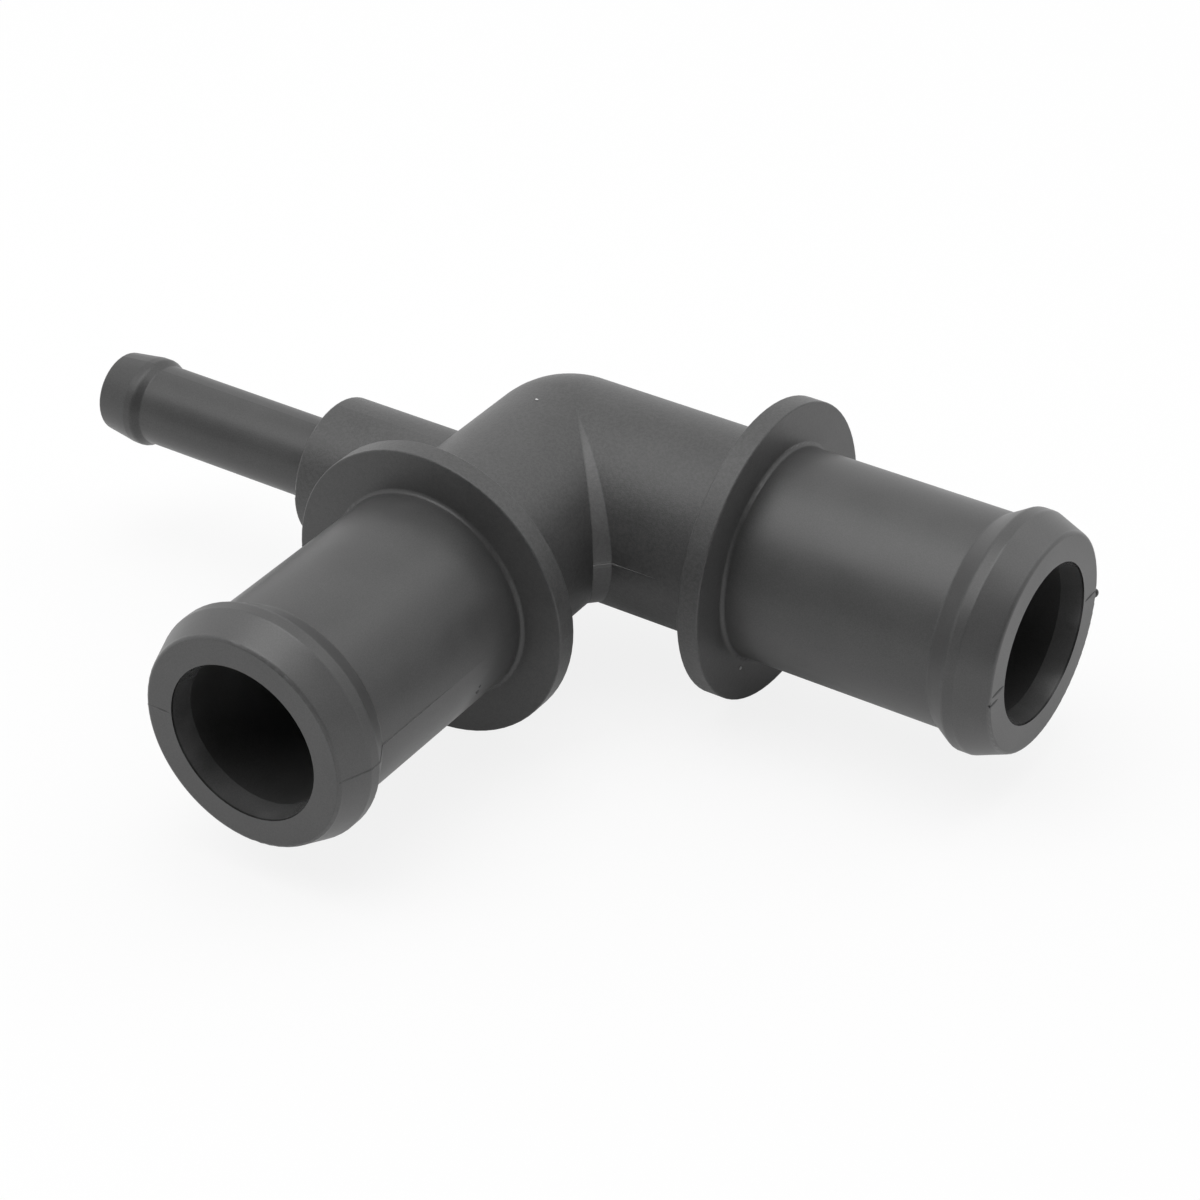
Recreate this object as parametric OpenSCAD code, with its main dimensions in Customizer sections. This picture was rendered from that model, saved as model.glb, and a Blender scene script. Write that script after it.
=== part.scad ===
// Hose tee connector, moulded in one piece: two equal hose legs at a right angle and a small
// vent spigot on the side of one of them. Millimetres.
// The axes of the two legs cross at the origin and all three axes lie in the plane z = 0.
// One leg points along -Y, the other along +X, and the vent spigot points along -X.

/* [Hose legs] */
// Diameter of the tube that a hose sits on
seat_d = 20; // [18:0.1:24]
// From the crossing of the axes to each end face
leg_reach = 49.4; // [44:0.1:60]
// Diameter of the bore in the spigots
bore_d = 14.2; // [10:0.1:15.4]
// How much narrower the bore is inside the elbow and the flanges, on each side
bore_neck = 0.2; // [0.05:0.05:0.5]
// From the crossing to the end of that narrower bore
neck_reach = 23.2; // [12:0.1:36]
// Length of the cone that joins a narrower bore to the wider one in its spigot
neck_cone = 1; // [0.5:0.1:5]
// How much wider the bore is at its mouth, on each side
mouth_flare = 0.4; // [0.1:0.05:1]
// Depth over which the mouth tapers down to the bore
mouth_depth = 2.1; // [0.5:0.1:6]

/* [Hose bead] */
// Height of the bead's crest over the tube
bead_rise = 1.24; // [0.8:0.02:2]
// Length of the cylindrical crest
bead_land = 0.85; // [0.3:0.05:2]
// Angle of the bead's back to the tube, in degrees
bead_back_angle = 31.5; // [25:0.5:50]
// Radius of the edge between the bead's back and the crest
bead_back_r = 0.6; // [0.2:0.1:2]
// Radius of the hollow between the bead's back and the tube
bead_foot_r = 0.4; // [0.2:0.05:1]
// Length of the cone from the crest to the end face
nose_len = 3; // [2:0.1:6]
// How far the cone falls over that length
nose_fall = 1.12; // [0.4:0.02:1.8]
// Radius of the edge between the cone and the end face
nose_edge_r = 0.4; // [0.1:0.05:0.8]
// Radius of the edge between the cone and the crest
crest_edge_r = 0.5; // [0.1:0.05:1.5]

/* [Flanges] */
// Diameter of the stop flanges
flange_d = 28.2; // [25:0.1:34]
// Thickness of the stop flanges
flange_t = 2.1; // [1.2:0.1:4]
// From the crossing of the axes to the face that a hose stops against
flange_face = 22.65; // [21:0.05:26]
// Radius of the edges round the flange's rim
flange_edge_r = 0.15; // [0.05:0.05:0.5]
// Radius of the hollow where the tube meets the flange
flange_root_r = 0.4; // [0.1:0.05:1]

/* [Elbow] */
// Diameter of the elbow between the two flanges
elbow_d = 19.7; // [18:0.1:23]
// Radius that fills the crease on the inside of the elbow
crease_r = 1.25; // [0.5:0.05:3]

/* [Vent spigot] */
// From the crossing of the axes to the vent's own axis, along the leg that carries it
vent_offset = 10; // [7.5:0.1:12.8]
// From the leg's axis to the vent's end face
vent_reach = 45.2; // [38:0.1:60]
// Diameter of the tube that the small hose sits on
vent_seat_d = 7.75; // [6.5:0.05:10]
// Diameter of the bore in the vent's tube
vent_bore_d = 6; // [3:0.1:6.1]
// How much narrower the vent's bore is inside its boss, on each side
vent_neck = 0.15; // [0.05:0.05:0.3]
// From the leg's axis to the end of that narrower bore
vent_neck_reach = 20; // [12:0.1:36]
// Height of the small bead's crest over its tube
vent_bead_rise = 0.45; // [0.25:0.05:0.9]
// Length of the small bead's cylindrical crest
vent_bead_land = 0.6; // [0.3:0.05:1.5]
// Angle of the small bead's back to its tube, in degrees
vent_back_angle = 30; // [20:0.5:45]
// Radius of the edge between the small bead's back and its crest
vent_back_r = 0.8; // [0.3:0.05:1]
// Radius of the hollow behind the small bead
vent_foot_r = 0.3; // [0.15:0.05:0.8]
// Length of the small cone from the crest to the end face
vent_nose_len = 3.4; // [2:0.1:6]
// How far the small cone falls over that length
vent_nose_fall = 0.48; // [0.1:0.02:0.8]
// Radius of the edge between the small cone and its end face
vent_edge_r = 0.3; // [0.1:0.05:0.6]

/* [Vent boss] */
// Diameter of the boss that carries the vent spigot
boss_d = 13.75; // [11:0.05:17]
// From the leg's axis to the boss's shoulder
boss_reach = 19.35; // [14:0.05:25]
// Radius of the edge round the shoulder
boss_edge_r = 0.25; // [0.1:0.05:1]
// Radius of the hollow where the small tube meets the shoulder
boss_root_r = 0.4; // [0.1:0.05:0.8]

/* [Hidden] */
$fn = 96;

// How far a cutting shape runs past the face that it opens
past = 1;
// The crease fill: angle of its last section up and down the crease, and number of sections
crease_end = 84;
crease_sections = 113;
// How far the crease fill reaches into the legs: at its edges, and at its third corner
crease_sink = 0.02;
crease_root = 0.8;

plastic = [0.09, 0.09, 0.095];

// A slice of a round disc, which rounds a corner of a section between two directions
module slice(centre, r, from, to) {
    translate(centre)
        intersection() {
            circle(r);
            polygon([
                [0, 0],
                2 * r * [cos(from), sin(from)],
                2 * r * [cos(to), sin(to)]
            ]);
        }
}

// The hollow of radius r in the corner between a tube, below, and a shoulder that faces up
module root(corner, r) {
    difference() {
        translate(corner - [r, r])
            square(2 * r);
        translate(corner + [r, r])
            circle(r);
    }
}

// Half section of a disc with round edges, from its axis out to r and from y = low to y = high
module rounded_disc(r, low, high, edge_r) {
    polygon([
        [0, low],
        [r - edge_r, low],
        [r, low + edge_r],
        [r, high - edge_r],
        [r - edge_r, high],
        [0, high]
    ]);
    slice([r - edge_r, low + edge_r], edge_r, -90, 0);
    slice([r - edge_r, high - edge_r], edge_r, 0, 90);
}

// Half section of a solid spigot with a hose bead at its end, from y = start to y = reach.
// The crest's back is a cone, with a round edge at the crest and a hollow one at the tube.
module beaded_tube(
    start, reach, seat_r, rise, land, back_angle, back_r, foot_r, nose, fall, edge_r, crest_edge
) {
    crest_r = seat_r + rise;
    cone_angle = atan(fall / nose);
    crest_top = reach - nose - crest_edge * tan(cone_angle / 2);
    // The bead's back: the heights where its round edges end on the crest and on the tube
    back_y = crest_top - land;
    back_run = rise / tan(back_angle) + (back_r + foot_r) * tan(back_angle / 2);
    foot_y = back_y - back_run;
    // The edge between the cone and the end face: where its arc starts on each of them
    edge_run = edge_r * tan((90 - cone_angle) / 2);
    face_r = crest_r - fall - edge_run;
    cone_foot = [
        crest_r - fall + edge_run * sin(cone_angle),
        reach - edge_run * cos(cone_angle)
    ];
    difference() {
        union() {
            polygon([
                [0, start],
                [seat_r, start],
                [seat_r, foot_y],
                [seat_r + foot_r * (1 - cos(back_angle)), foot_y + foot_r * sin(back_angle)],
                [crest_r - back_r * (1 - cos(back_angle)), back_y - back_r * sin(back_angle)],
                [crest_r, back_y],
                [crest_r, crest_top],
                [
                    crest_r - crest_edge * (1 - cos(cone_angle)),
                    crest_top + crest_edge * sin(cone_angle)
                ],
                cone_foot,
                [face_r, reach],
                [0, reach]
            ]);
            slice([crest_r - back_r, back_y], back_r, -back_angle, 0);
            slice([crest_r - crest_edge, crest_top], crest_edge, 0, cone_angle);
            slice([face_r, reach - edge_r], edge_r, cone_angle, 90);
        }
        slice([seat_r + foot_r, foot_y], foot_r, 180 - back_angle, 180);
    }
}

// One hose leg, solid, along +Z from the crossing
module leg() {
    flange_middle = flange_face - flange_t / 2;
    rotate_extrude() {
        square([elbow_d / 2, flange_middle]);
        rounded_disc(flange_d / 2, flange_face - flange_t, flange_face, flange_edge_r);
        root([seat_d / 2, flange_face], flange_root_r);
        beaded_tube(
            flange_middle, leg_reach, seat_d / 2, bead_rise, bead_land, bead_back_angle,
            bead_back_r, bead_foot_r, nose_len, nose_fall, nose_edge_r, crest_edge_r
        );
    }
}

// The vent spigot and its boss, solid, along +Z from the axis of the leg that carries it
module vent() {
    rotate_extrude() {
        rounded_disc(boss_d / 2, 0, boss_reach, boss_edge_r);
        root([vent_seat_d / 2, boss_reach], boss_root_r);
        beaded_tube(
            0, vent_reach, vent_seat_d / 2, vent_bead_rise, vent_bead_land, vent_back_angle,
            vent_back_r, vent_foot_r, vent_nose_len, vent_nose_fall, vent_edge_r, vent_edge_r
        );
    }
}

// A bore along +Z, of radius r out to reach and narrower by neck up to neck_end
module bore(r, neck, neck_end, reach) {
    rotate_extrude()
        polygon([
            [0, 0],
            [r - neck, 0],
            [r - neck, neck_end],
            [r, neck_end + neck_cone],
            [r, reach + past],
            [0, reach + past]
        ]);
}

// The bore of one leg, along +Z from the crossing, with its mouth
module leg_bore() {
    mouth_r = bore_d / 2 + mouth_flare;
    bore(bore_d / 2, bore_neck, neck_reach, leg_reach);
    translate([0, 0, leg_reach - mouth_depth])
        cylinder(r1 = bore_d / 2, r2 = mouth_r, h = mouth_depth);
    translate([0, 0, leg_reach])
        cylinder(r = mouth_r, h = past);
}

// A section of the crease fill, at the angle turn up the crease from the plane of the axes.
// A ball of radius crease_r that rolls down the crease touches each leg in one point. The fill
// is flat between these two points, and its third corner lies inside the legs.
function fill_section(turn) =
    let (ball = (elbow_d / 2 + crease_r) * [cos(turn), -cos(turn), sin(turn)])
    [
        ball + (crease_r + crease_sink) * [-cos(turn), 0, -sin(turn)],
        ball + (crease_r + crease_sink) * [0, cos(turn), -sin(turn)],
        (elbow_d / 2 - crease_root) * [cos(turn), -cos(turn), sin(turn)]
    ];

// The flat fill in the crease on the inside of the elbow
module crease_fill() {
    last = crease_sections - 1;
    sections = [for (i = [0 : last]) fill_section(crease_end * (2 * i / last - 1))];
    points = [for (section = sections, corner = section) corner];
    sides = [
        for (i = [0 : last - 1], j = [0 : 2])
            let (a = i * 3 + j, b = i * 3 + (j + 1) % 3)
            each [[a, a + 3, b], [b, a + 3, b + 3]]
    ];
    ends = [[2, 0, 1], [last * 3 + 2, last * 3 + 1, last * 3]];
    polyhedron(points, concat(sides, ends));
}

// The whole connector
module tee_body() {
    color(plastic)
        difference() {
            union() {
                rotate([90, 0, 0])
                    leg();
                rotate([0, 90, 0])
                    leg();
                sphere(d = elbow_d);
                translate([0, -vent_offset, 0])
                    rotate([0, -90, 0])
                        vent();
                crease_fill();
            }
            rotate([90, 0, 0])
                leg_bore();
            rotate([0, 90, 0])
                leg_bore();
            sphere(r = bore_d / 2 - bore_neck);
            translate([0, -vent_offset, 0])
                rotate([0, -90, 0])
                    bore(vent_bore_d / 2, vent_neck, vent_neck_reach, vent_reach);
        }
}

tee_body();
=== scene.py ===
"""Looks of the hose tee connector: one black plastic moulding on a white table, in soft studio light."""

import math

import bmesh
import bpy
from mathutils import Matrix, Vector


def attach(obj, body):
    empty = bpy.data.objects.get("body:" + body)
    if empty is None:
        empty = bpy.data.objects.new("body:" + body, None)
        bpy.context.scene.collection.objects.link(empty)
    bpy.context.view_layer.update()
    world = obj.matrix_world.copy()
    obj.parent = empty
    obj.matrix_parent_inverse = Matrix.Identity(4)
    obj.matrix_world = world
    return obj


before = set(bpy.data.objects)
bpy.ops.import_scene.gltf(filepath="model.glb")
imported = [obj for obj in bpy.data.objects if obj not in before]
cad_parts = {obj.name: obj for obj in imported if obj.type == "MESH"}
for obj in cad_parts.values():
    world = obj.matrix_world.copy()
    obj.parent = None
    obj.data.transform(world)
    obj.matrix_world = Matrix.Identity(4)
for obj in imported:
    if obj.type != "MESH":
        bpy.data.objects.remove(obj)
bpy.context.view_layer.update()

MM = 0.001
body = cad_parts["tee_body"]

# Sizes of the moulding, in millimetres, in its own frame: the legs' axes cross at the origin,
# one leg points along -Y, the other along +X, and the vent spigot along -X at y = -VENT_Y
LEG_REACH = 49.4
CREST_EDGE = 46.4
NOSE_EDGE = 49.2
NOSE_R = 9.95
MOUTH_R = 7.5
MOUTH_DEPTH = 2.1
FLANGE_FACE = 22.65
ELBOW_R = 9.85
VENT_Y = 10.0
VENT_BORE_START = 6.0
VENT_REACH = 45.2
VENT_MOUTH_R = 3.0
BOSS_REACH = 19.35
FLOOR_Z = -14.1
FLOOR_GAP = 0.02

# Where the kinds of surface begin, in millimetres, from none to full. The first group is counted from
# a size above, and the second along an axis, from an edge or from the plane of the axes.
SMOOTH_PAST_FLANGE = (-0.3, 0.3)
VENT_PAST_BOSS = (0.2, -0.2)
NOSE_PAST_R = (-0.05, 0.05)
NOSE_PAST_CREST = (-0.1, 0.1)
INSIDE_MOUTH_R = (0.04, -0.01)
LEAD_IN_PAST_BORE = (-0.03, 0.03)
LIP_TO_FACE = (-0.25, -0.1)
CREASE_PAST_ELBOW_R = (0.01, 0.08)

BORE_ALONG = (8.0, 12.0)
EDGE_BAND = (0.22, 0.08)
CREASE_NEAR = (0.0, 0.5)
CREASE_FAR = (13.5, 13.0)
CREASE_MARK = (0.4, 0.25)

# Tone of the plastic, and what its kinds of surface add, with painted light and shade among them as said
# at each. The heights and depths over which the crease and the bores change are in millimetres.
TONE = (0.058, 0.076)
GRAIN_TONE = (-0.009, 0.009)
FINE_TONE = (-0.005, 0.005)
# The crease carries a painted highlight: paler as it rises, and less pale again near its top
CREASE_RISE = (0.5, 4.0)
CREASE_HIGHLIGHT_TONE = (0.026, 0.055)
CREASE_TOP = (4.5, 8.0)
CREASE_HIGHLIGHT_TOP_FADE = (0.0, -0.03)
CREASE_MARK_TONE = 0.04
# Painted sheen on the nose cones
NOSE_SHEEN_TONE = 0.018
VENT_TONE = -0.012
# Painted sheen in the lead-ins, in broad patches
LEAD_IN_SHEEN_TONE = (0.01, 0.04)
# Painted shade: a dark line at the lip of each mouth, next to the end face
LIP_SHADE_TONE = -0.06
# Painted light in the bores: a little darker just inside the lead-in, and paler the deeper they go
BORE_DEPTH = (46, 34)
BORE_LIGHT_TONE = (-0.02, 0.09)

# Roughness of the plastic, and what its kinds of surface add
ROUGHNESS = (0.36, 0.42)
GRAINED_ROUGHNESS = 0.04
EDGE_ROUGHNESS = -0.07
CREASE_ROUGHNESS = -0.08
LEAD_IN_ROUGHNESS = -0.18
BORE_ROUGHNESS = 0.1
IOR = 1.5

# Noises per millimetre, with their detail and roughness, and the levels of noise between which the tone,
# the grain, pale patches and the roughness change. Then the bump's depth in millimetres, its strength
# everywhere, and what the grained parts add to that.
FINE_NOISE = (9.0, 3.0, 0.6)
GRAIN_NOISE = (3.2, 2.0, 0.5)
BROAD_NOISE = (0.16, 2.0, 0.5)
MARK_NOISE = (1.6, 2.0, 0.5)
TONE_LEVELS = (0.1, 0.9)
GRAIN_LEVELS = (0.38, 0.62)
PATCH_LEVELS = (0.35, 0.65)
ROUGHNESS_LEVELS = (0.3, 0.7)
BUMP_DEPTH = 0.1
BUMP_STRENGTH = 0.05
GRAINED_BUMP = 0.28

# Small marks: the radii in millimetres and the tone of a painted highlight on the parting line in the
# crease.
# Then their materials, with the darkest and the palest tone, the roughness and, for one of them, the middle
# of its painted highlight.
RIDGE_HIGHLIGHT_RADII = (2.0, 1.2)
RIDGE_HIGHLIGHT_TONE = 0.07
MARK_MATERIALS = {
    # the witness line's painted highlight is centred in the crease between the legs
    "witness_line": (0.035, 0.06, 0.32, (10.5, -10.5, 0)),
    # the nicks' near-black grey is painted shade
    "nick_shade": (0.008, 0.02, 0.5),
    "flash": (0.015, 0.03, 0.4),
    "lint": (0.5, 0.65, 0.8),
}
# The marks: name, centre and radii in millimetres, and material
MARKS = (
    ("mouth_flash", (49.05, 10.5, -0.75), (0.33, 0.42, 0.42), "flash"),
    # The nicks where the parting line meets the end faces are dark lumps of painted shade; the one on the
    # -Y end face uses the witness line's grey
    ("x_face_nick_back", (49.38, 8.8, 0.0), (0.06, 1.15, 0.15), "nick_shade"),
    ("x_face_nick_front", (49.38, -8.65, 0.05), (0.06, 1.15, 0.2), "nick_shade"),
    ("x_face_nick_low", (49.38, -9.3, -0.75), (0.06, 0.8, 0.19), "nick_shade"),
    ("y_face_nick", (-8.72, -49.38, 0.08), (1.2, 0.05, 0.14), "witness_line"),
    ("flange_speck", (22.68, -6.4, -9.0), (0.06, 0.2, 0.18), "lint"),
    ("elbow_speck", (-1.37, -3.25, 9.8), (0.16, 0.12, 0.06), "lint"),
    ("tube_mark", (9.4, -28.7, -3.42), (0.04, 0.24, 0.24), "flash"),
    ("tube_mark_upper", (9.58, -28.55, -2.85), (0.04, 0.18, 0.18), "flash"),
)

# Parting line, in millimetres: half the ridge's width, its height, how deep it sits, and the longest step
# along it. Then the share of its width that is left where it fades out, the shares of its width and height
# at its shoulders, and the cosine below which a sharp corner stretches it no more.
RIDGE_HALF = 0.1
RIDGE_HEIGHT = 0.06
RIDGE_SINK = 0.03
RIDGE_STEP = 0.8
RIDGE_THINNEST = 0.4
RIDGE_SHOULDER = (0.55, 0.8)
RIDGE_CORNER = 0.6

# Where it shows, in millimetres, and how strongly. On the leg along -Y it grows along the leg and out to
# its side, and on the leg along +X it fades out.
RIDGE_END = LEG_REACH - 0.05
Y_LEG_GROWS = (32, 38)
Y_LEG_SIDE = (9.5, 9.8)
X_LEG_FADES = (17, 13)
X_LEG_STRENGTH = 0.7
CREASE_START = ELBOW_R - 0.3
CREASE_END = ELBOW_R + 1.5
CREASE_TAIL = ELBOW_R + 2
CREASE_STRENGTH = 1.2
BOSS_END = FLANGE_FACE - 4
BACK_STRENGTH = 0.35
LEAST_STRENGTH = 0.02

# The section: how near two points count as one, in metres, and how far past a bore's radius its own lines
# may lie, in millimetres
MERGE = 1e-7
WALL_MARGIN = 0.02

# Stage: the floor's half width in metres, the paper's colour, and how far it is taken to full white where
# the camera or a reflection sees it. In reflections it carries painted shade in the corner between the
# legs:
# the middle of that corner, how much it is squeezed along X, the distances in millimetres from dark to
# full, and the share that is left in the middle.
WHITE = (1, 1, 1, 1)
FLOOR_HALF = 3.0
PAPER = (0.88, 0.88, 0.88, 1)
PAPER_GLOW = 0.85
PAPER_GLOSSY_GLOW = 0.56
CORNER = (15, -3)
CORNER_SQUEEZE = 0.6
CORNER_REACH = (5, 17)
CORNER_SHARE = 0.27

# Light: the white tent with its dark opening, and two soft boxes, with their azimuth and elevation, the
# azimuth of their long side, their size in metres and their level
TENT_LEVEL = 0.87
OPENING_AZIMUTH = 29.5
OPENING_ELEVATION = 8.7
OPENING_RIMS = (36.6, 82.5)
OPENING_LEVEL = 0.025
LAMP_DISTANCE = 0.7
LAMPS = (
    ("top_box", -44.4, 75.3, -29.6, (0.91, 0.50), 2.15),
    ("back_box", 151, 45.7, 61, (0.34, 0.34), 0.92),
)

# Camera: fitted to the photograph's outline, with its angles in degrees, and with the origin's place in
# its own axes in millimetres
AZIMUTH = 33.2544
ELEVATION = 34.0450
ROLL = -0.1615
OFFSET = (-2.816, 11.244, 325.22)
LENS_PX = 3494.06
IMAGE_PX = 1200
SENSOR = 36.0
CLIP = (0.01, 20)


def direction(azimuth, elevation):
    """Azimuth 0 is towards -Y and 90 towards +X, in degrees."""
    a, e = math.radians(azimuth), math.radians(elevation)
    return Vector((math.sin(a) * math.cos(e), -math.cos(a) * math.cos(e), math.sin(e)))


def set_up(thing, place, x, y, z):
    """Puts a camera or a lamp in its place, with its own axes along x, y and z."""
    thing.matrix_world = Matrix.Translation(place) @ Matrix((x, y, z)).transposed().to_4x4()
    bpy.context.scene.collection.objects.link(thing)


def make_camera():
    back = direction(AZIMUTH, ELEVATION)
    right = direction(AZIMUTH + 90, 0)
    up = back.cross(right)
    roll = math.radians(ROLL)
    x = math.cos(roll) * right + math.sin(roll) * up
    y = -math.sin(roll) * right + math.cos(roll) * up
    data = bpy.data.cameras.new("camera")
    data.sensor_fit = "HORIZONTAL"
    data.sensor_width = SENSOR
    data.sensor_height = SENSOR
    data.lens = LENS_PX * SENSOR / IMAGE_PX
    data.clip_start, data.clip_end = CLIP
    camera = bpy.data.objects.new("camera", data)
    set_up(camera, (OFFSET[2] * back - OFFSET[0] * x - OFFSET[1] * y) * MM, x, y, back)
    bpy.context.scene.camera = camera


# Materials

class Tree:
    """Adds nodes to a node tree and joins them."""

    def __init__(self, tree):
        self.tree = tree
        tree.nodes.clear()

    def node(self, kind, inputs=None, **settings):
        n = self.tree.nodes.new(kind)
        for name, value in settings.items():
            setattr(n, name, value)
        for key, value in (inputs or {}).items():
            if isinstance(value, bpy.types.NodeSocket):
                self.tree.links.new(value, n.inputs[key])
            else:
                n.inputs[key].default_value = value
        return n

    def math(self, operation, *values):
        return self.node("ShaderNodeMath", dict(enumerate(values)), operation=operation).outputs[0]

    def add(self, *values):
        total = values[0]
        for value in values[1:]:
            total = self.math("ADD", total, value)
        return total

    def times(self, *values):
        total = values[0]
        for value in values[1:]:
            total = self.math("MULTIPLY", total, value)
        return total

    def ramp(self, value, low, high, out_low=0.0, out_high=1.0):
        n = self.node(
            "ShaderNodeMapRange",
            {0: value, 1: low, 2: high, 3: out_low, 4: out_high},
            interpolation_type="SMOOTHSTEP",
        )
        return n.outputs[0]

    def across(self, value, edge, reach):
        """0 at the first of two distances from an edge, and 1 at the second."""
        return self.ramp(value, edge + reach[0], edge + reach[1])

    def off(self, value, place):
        return self.math("ABSOLUTE", self.math("SUBTRACT", value, place))

    def distance(self, vector, point):
        n = self.node("ShaderNodeVectorMath", {0: vector, 1: point}, operation="DISTANCE")
        return n.outputs["Value"]

    def radius(self, a, b):
        return self.math("SQRT", self.add(self.times(a, a), self.times(b, b)))

    def noise(self, vector, scale, detail, roughness):
        n = self.node(
            "ShaderNodeTexNoise",
            {"Vector": vector, "Scale": scale, "Detail": detail, "Roughness": roughness},
        )
        return n.outputs[0]

    def place(self):
        return self.node("ShaderNodeTexCoord").outputs["Object"]

    def place_mm(self):
        n = self.node("ShaderNodeVectorMath", {0: self.place(), "Scale": 1 / MM}, operation="SCALE")
        return n.outputs[0]


def new_material(name):
    material = bpy.data.materials.new(name)
    material.use_nodes = True
    return material, Tree(material.node_tree)


def nylon_material(name):
    """Black glass-filled nylon: fine grain on the elbow and the boss, smoother on the spigots. Its colour
    also carries painted light: a painted highlight on the crease, painted sheen on the nose cones and the
    lead-ins, painted shade at the lips of the mouths, and painted light deep in the bores.
    """
    material, t = new_material(name)
    mm = t.place_mm()
    axes = t.node("ShaderNodeSeparateXYZ", {0: mm}).outputs
    x, y, z = axes[0], axes[1], axes[2]
    back_y = t.times(y, -1.0)
    off_x_leg, off_y_leg = t.radius(y, z), t.radius(x, z)

    # How far each point belongs to each kind of surface
    on_vent = smooth = t.across(x, -BOSS_REACH, VENT_PAST_BOSS)
    nose = edge = bore = lead_in = lip = 0.0
    for along, r in ((x, off_x_leg), (back_y, off_y_leg)):
        smooth = t.math("MAXIMUM", smooth, t.across(along, FLANGE_FACE, SMOOTH_PAST_FLANGE))
        outer = t.across(r, NOSE_R, NOSE_PAST_R)
        inner = t.across(r, MOUTH_R, INSIDE_MOUTH_R)
        in_leg = t.times(inner, t.ramp(along, *BORE_ALONG))
        in_mouth = t.times(inner, t.across(along, LEG_REACH - MOUTH_DEPTH, LEAD_IN_PAST_BORE))
        near_crest = t.ramp(t.off(along, CREST_EDGE), *EDGE_BAND)
        near_face = t.ramp(t.off(along, NOSE_EDGE), *EDGE_BAND)
        nose = t.add(nose, t.times(outer, t.across(along, CREST_EDGE, NOSE_PAST_CREST)))
        edge = t.add(edge, t.times(outer, t.math("MAXIMUM", near_crest, near_face)))
        lead_in = t.add(lead_in, in_mouth)
        bore = t.add(bore, t.math("SUBTRACT", in_leg, in_mouth))
        lip = t.add(lip, t.times(in_mouth, t.across(along, LEG_REACH, LIP_TO_FACE)))
    grained = t.math("SUBTRACT", 1.0, smooth)
    near_crossing = t.times(
        t.ramp(x, *CREASE_FAR), t.ramp(back_y, *CREASE_FAR),
        t.ramp(x, *CREASE_NEAR), t.ramp(back_y, *CREASE_NEAR),
    )
    off_legs = t.math("MINIMUM", off_x_leg, off_y_leg)
    crease = t.times(near_crossing, t.across(off_legs, ELBOW_R, CREASE_PAST_ELBOW_R))

    fine = t.noise(mm, *FINE_NOISE)
    grain = t.noise(mm, *GRAIN_NOISE)
    broad = t.noise(mm, *BROAD_NOISE)
    mixed = t.times(t.add(grain, fine), 0.5)
    colour = t.add(
        t.ramp(t.times(broad, t.add(fine, 0.5)), *TONE_LEVELS, *TONE),
        t.times(t.ramp(mixed, *GRAIN_LEVELS, *GRAIN_TONE), grained),
        t.times(t.ramp(fine, *GRAIN_LEVELS, *FINE_TONE), smooth),
        # painted highlight on the crease, paler as it rises and less pale near its top
        t.times(crease, t.ramp(z, *CREASE_RISE, *CREASE_HIGHLIGHT_TONE)),
        t.times(crease, t.ramp(z, *CREASE_TOP, *CREASE_HIGHLIGHT_TOP_FADE)),
        t.times(crease, t.ramp(t.off(z, 0.0), *CREASE_MARK), CREASE_MARK_TONE),
        # painted sheen on the nose cones
        t.times(nose, NOSE_SHEEN_TONE),
        t.times(on_vent, VENT_TONE),
        # painted sheen in the lead-ins, in broad patches
        t.times(lead_in, t.ramp(broad, *PATCH_LEVELS, *LEAD_IN_SHEEN_TONE)),
        # painted shade at the lips of the mouths
        t.times(lip, LIP_SHADE_TONE),
        # painted light in the bores, paler the deeper they go
        t.times(bore, t.ramp(t.math("MAXIMUM", x, back_y), *BORE_DEPTH, *BORE_LIGHT_TONE)),
    )
    roughness = t.add(
        t.ramp(broad, *ROUGHNESS_LEVELS, *ROUGHNESS),
        t.times(grained, GRAINED_ROUGHNESS),
        t.times(edge, EDGE_ROUGHNESS),
        t.times(crease, CREASE_ROUGHNESS),
        t.times(lead_in, LEAD_IN_ROUGHNESS),
        t.times(bore, BORE_ROUGHNESS),
    )
    strength = t.add(t.times(grained, GRAINED_BUMP), BUMP_STRENGTH)
    bump = t.node("ShaderNodeBump", {"Strength": strength, "Distance": BUMP_DEPTH * MM, "Height": mixed})
    shader = t.node("ShaderNodeBsdfPrincipled", {
        "Base Color": colour,
        "Roughness": roughness,
        "Normal": bump.outputs[0],
        "IOR": IOR,
        "Specular IOR Level": 0.5,
    })
    t.node("ShaderNodeOutputMaterial", {"Surface": shader.outputs[0]})
    return material


def mark_material(name, low, high, roughness, highlight_at=None):
    """A grey that wanders between two tones, for the small marks. It carries a painted highlight near
    highlight_at.
    """
    material, t = new_material(name)
    mm = t.place_mm()
    colour = t.ramp(t.noise(mm, *MARK_NOISE), *PATCH_LEVELS, low, high)
    if highlight_at:
        # painted highlight, paler near its middle
        colour = t.add(colour, t.ramp(t.distance(mm, highlight_at), *RIDGE_HIGHLIGHT_RADII, 0.0, RIDGE_HIGHLIGHT_TONE))
    shader = t.node("ShaderNodeBsdfPrincipled", {"Base Color": colour, "Roughness": roughness, "IOR": IOR})
    t.node("ShaderNodeOutputMaterial", {"Surface": shader.outputs[0]})
    return material


def make_piece(name, bm, material):
    bmesh.ops.recalc_face_normals(bm, faces=bm.faces[:])
    mesh = bpy.data.meshes.new(name)
    bm.to_mesh(mesh)
    bm.free()
    mesh.materials.append(material)
    piece = bpy.data.objects.new(name, mesh)
    bpy.context.scene.collection.objects.link(piece)
    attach(piece, "root")


# The parting line: a fine ridge where the halves of the mould met, in the plane of the axes

def segment_distance(p, a, b):
    along = b - a
    share = max(0.0, min(1.0, (p - a).dot(along) / along.length_squared))
    return (p - a - share * along).length


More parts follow.
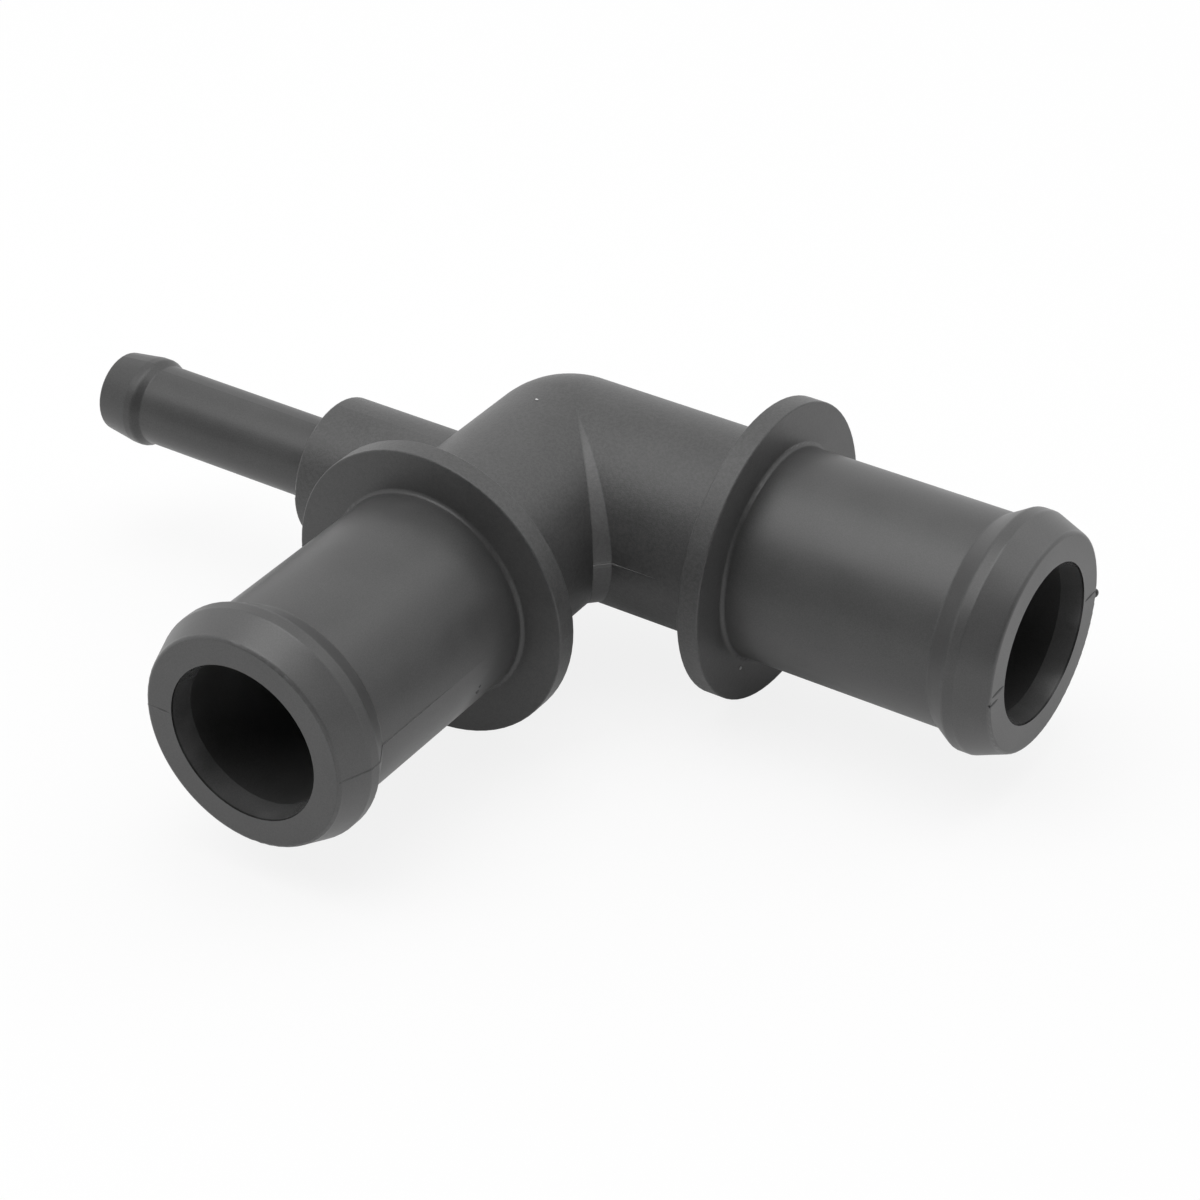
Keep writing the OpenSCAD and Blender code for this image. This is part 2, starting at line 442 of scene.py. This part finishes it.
def in_cavity(p):
    """Whether a point of the section, in millimetres, belongs to a bore and not to the outside."""
    cross = Vector((0, 0))
    vent_start, vent_end = Vector((-VENT_BORE_START, -VENT_Y)), Vector((-VENT_REACH, -VENT_Y))
    return (
        segment_distance(p, cross, Vector((0, -LEG_REACH))) < MOUTH_R + WALL_MARGIN
        or segment_distance(p, cross, Vector((LEG_REACH, 0))) < MOUTH_R + WALL_MARGIN
        or segment_distance(p, vent_start, vent_end) < VENT_MOUTH_R + WALL_MARGIN
    )


def section_chains():
    """The outside lines of the section by the plane of the axes, in millimetres, outside on the right."""
    bm = bmesh.new()
    bm.from_mesh(body.data)
    bmesh.ops.remove_doubles(bm, verts=bm.verts, dist=MERGE)
    cut = bmesh.ops.bisect_plane(
        bm, geom=bm.verts[:] + bm.edges[:] + bm.faces[:], dist=MERGE,
        plane_co=(0, 0, 0), plane_no=(0, 0, 1), clear_outer=True,
    )
    ahead = {}
    for e in cut["geom_cut"]:
        if not isinstance(e, bmesh.types.BMEdge) or not e.link_faces:
            continue
        a, b = (Vector((v.co.x, v.co.y)) / MM for v in e.verts)
        if in_cavity((a + b) / 2):
            continue
        ka, kb = (tuple(round(c, 3) for c in p) for p in (a, b))
        normal = e.link_faces[0].normal
        along = b - a
        if along.y * normal.x - along.x * normal.y < 0:
            ka, kb = kb, ka
        if ka != kb:
            ahead[ka] = kb
    bm.free()
    chains = []
    for start in sorted(set(ahead) - set(ahead.values())):
        chain, here = [Vector(start)], start
        while here in ahead:
            here = ahead.pop(here)
            chain.append(Vector(here))
        chains.append(chain)
    return chains


def fade(value, none, full):
    share = max(0.0, min(1.0, (value - none) / (full - none)))
    return share * share * (3 - 2 * share)


def ridge_strength(p):
    """How strongly the parting line shows at a point of the section."""
    # Not on the end faces
    if max(p.x, -p.y) > RIDGE_END:
        return 0.0
    # On the +X side of the leg along -Y it grows towards the bead
    if p.y < -FLANGE_FACE and p.x > 0:
        return fade(-p.y, *Y_LEG_GROWS) * fade(p.x, *Y_LEG_SIDE)
    # Across the crease, and fading out along the leg along +X
    if CREASE_START < p.x < X_LEG_FADES[0] and -CREASE_TAIL < p.y < 0:
        in_crease = max(p.x, -p.y) < CREASE_END
        return CREASE_STRENGTH if in_crease else X_LEG_STRENGTH * fade(p.x, *X_LEG_FADES)
    # Faint on the far side, but not on the near side of the boss and the vent
    if p.y > 0 or (p.x < 0 and not -BOSS_END <= p.y <= -VENT_Y):
        return BACK_STRENGTH
    return 0.0


def in_steps(chain):
    points = [chain[0]]
    for a, b in zip(chain, chain[1:]):
        count = max(1, math.ceil((b - a).length / RIDGE_STEP))
        points += [a.lerp(b, i / count) for i in range(1, count + 1)]
    return points


def outward(a, b):
    along = (b - a).normalized()
    return Vector((along.y, -along.x))


def add_ridge(bm, points):
    rings = []
    last = len(points) - 1
    for i, p in enumerate(points):
        first = outward(*points[max(i - 1, 0):max(i - 1, 0) + 2])
        second = outward(*points[min(i, last - 1):min(i, last - 1) + 2])
        mean = (first + second).normalized()
        mean /= max(RIDGE_CORNER, mean.dot(first))
        strength = ridge_strength(p)
        half = RIDGE_HALF * (RIDGE_THINNEST + (1 - RIDGE_THINNEST) * strength)
        top = RIDGE_HEIGHT * strength
        side, shoulder = RIDGE_SHOULDER[0] * half, RIDGE_SHOULDER[1] * top
        section = (
            (-half, -RIDGE_SINK), (-side, shoulder), (0, top), (side, shoulder), (half, -RIDGE_SINK),
        )
        ring = []
        for z, h in section:
            q = p + mean * h
            ring.append(bm.verts.new((q.x * MM, q.y * MM, z * MM)))
        rings.append(ring)
    for a, b in zip(rings, rings[1:]):
        for i in range(len(a)):
            j = (i + 1) % len(a)
            bm.faces.new((a[i], a[j], b[j], b[i]))
    bm.faces.new(rings[0][::-1])
    bm.faces.new(rings[-1])


def make_parting_line(material):
    bm = bmesh.new()
    for chain in section_chains():
        run = []
        for p in in_steps(chain):
            if ridge_strength(p) > LEAST_STRENGTH:
                run.append(p)
                continue
            if len(run) > 2:
                add_ridge(bm, run)
            run = []
        if len(run) > 2:
            add_ridge(bm, run)
    make_piece("parting_line", bm, material)


def make_mark(name, centre, radii, material):
    """A small smooth lump, round or drawn out, for the flash, the nicks, the specks and the dark marks."""
    bm = bmesh.new()
    bmesh.ops.create_icosphere(bm, subdivisions=3, radius=1)
    for v in bm.verts:
        v.co = Vector(tuple(v.co[i] * radii[i] + centre[i] for i in range(3))) * MM
    for f in bm.faces:
        f.smooth = True
    make_piece(name, bm, material)


# Stage and light

def make_stage():
    bm = bmesh.new()
    z = (FLOOR_Z - FLOOR_GAP) * MM
    signs = ((-1, -1), (1, -1), (1, 1), (-1, 1))
    bm.faces.new([bm.verts.new((sx * FLOOR_HALF, sy * FLOOR_HALF, z)) for sx, sy in signs])
    mesh = bpy.data.meshes.new("floor")
    bm.to_mesh(mesh)
    bm.free()
    floor = bpy.data.objects.new("floor", mesh)
    bpy.context.scene.collection.objects.link(floor)
    material, t = new_material("floor")
    path = t.node("ShaderNodeLightPath").outputs
    direct = t.math("MAXIMUM", path["Is Camera Ray"], path["Is Transmission Ray"])
    squeeze = {0: t.place(), 1: (CORNER_SQUEEZE, 1, 0)}
    squeezed = t.node("ShaderNodeVectorMath", squeeze, operation="MULTIPLY").outputs[0]
    # Painted shade on the floor as reflections see it: its glow is dimmed in the corner between the legs
    off_corner = t.distance(squeezed, (CORNER_SQUEEZE * CORNER[0] * MM, CORNER[1] * MM, 0))
    near, far = (reach * MM for reach in CORNER_REACH)
    glow = t.ramp(off_corner, near, far, CORNER_SHARE * PAPER_GLOSSY_GLOW, PAPER_GLOSSY_GLOW)
    seen = t.math("MAXIMUM", t.times(direct, PAPER_GLOW), t.times(path["Is Glossy Ray"], glow))
    paper = t.node("ShaderNodeBsdfDiffuse", {"Color": PAPER}).outputs[0]
    white = t.node("ShaderNodeEmission", {"Color": WHITE, "Strength": 1.0}).outputs[0]
    mixed = t.node("ShaderNodeMixShader", {0: seen, 1: paper, 2: white}).outputs[0]
    t.node("ShaderNodeOutputMaterial", {"Surface": mixed})
    mesh.materials.append(material)


def make_world():
    """A white tent, with its dark opening low on the side that the photograph was taken from."""
    world = bpy.data.worlds.new("studio")
    bpy.context.scene.world = world
    world.use_nodes = True
    t = Tree(world.node_tree)
    way = t.node("ShaderNodeTexCoord").outputs["Generated"]
    opening = {0: way, 1: direction(OPENING_AZIMUTH, OPENING_ELEVATION)}
    toward = t.node("ShaderNodeVectorMath", opening, operation="DOT_PRODUCT").outputs["Value"]
    rims = (math.cos(math.radians(angle)) for angle in OPENING_RIMS)
    tent = t.ramp(toward, *rims, OPENING_LEVEL, TENT_LEVEL)
    shade = t.node("ShaderNodeBackground", {"Color": WHITE, "Strength": tent}).outputs[0]
    white = t.node("ShaderNodeBackground", {"Color": WHITE, "Strength": 1.0}).outputs[0]
    path = t.node("ShaderNodeLightPath").outputs
    seen = t.math("MAXIMUM", path["Is Camera Ray"], path["Is Transmission Ray"])
    mixed = t.node("ShaderNodeMixShader", {0: seen, 1: shade, 2: white}).outputs[0]
    t.node("ShaderNodeOutputWorld", {"Surface": mixed})


def make_lamp(name, azimuth, elevation, long_azimuth, size, level):
    """A soft box that faces the part. It shines as a white surface of that level does."""
    data = bpy.data.lights.new(name, "AREA")
    data.shape = "RECTANGLE"
    data.size, data.size_y = size
    data.energy = level * math.pi * size[0] * size[1]
    lamp = bpy.data.objects.new(name, data)
    back = direction(azimuth, elevation)
    long = direction(long_azimuth, 0)
    x = (long - back * long.dot(back)).normalized()
    set_up(lamp, back * LAMP_DISTANCE, x, back.cross(x), back)


make_camera()
body.data.materials.clear()
body.data.materials.append(nylon_material("black_nylon"))
greys = {name: mark_material(name, *look) for name, look in MARK_MATERIALS.items()}
make_parting_line(greys["witness_line"])
for name, centre, radii, grey in MARKS:
    make_mark(name, centre, radii, greys[grey])
make_stage()
make_world()
for lamp in LAMPS:
    make_lamp(*lamp)

bpy.context.scene.view_settings.view_transform = "Standard"
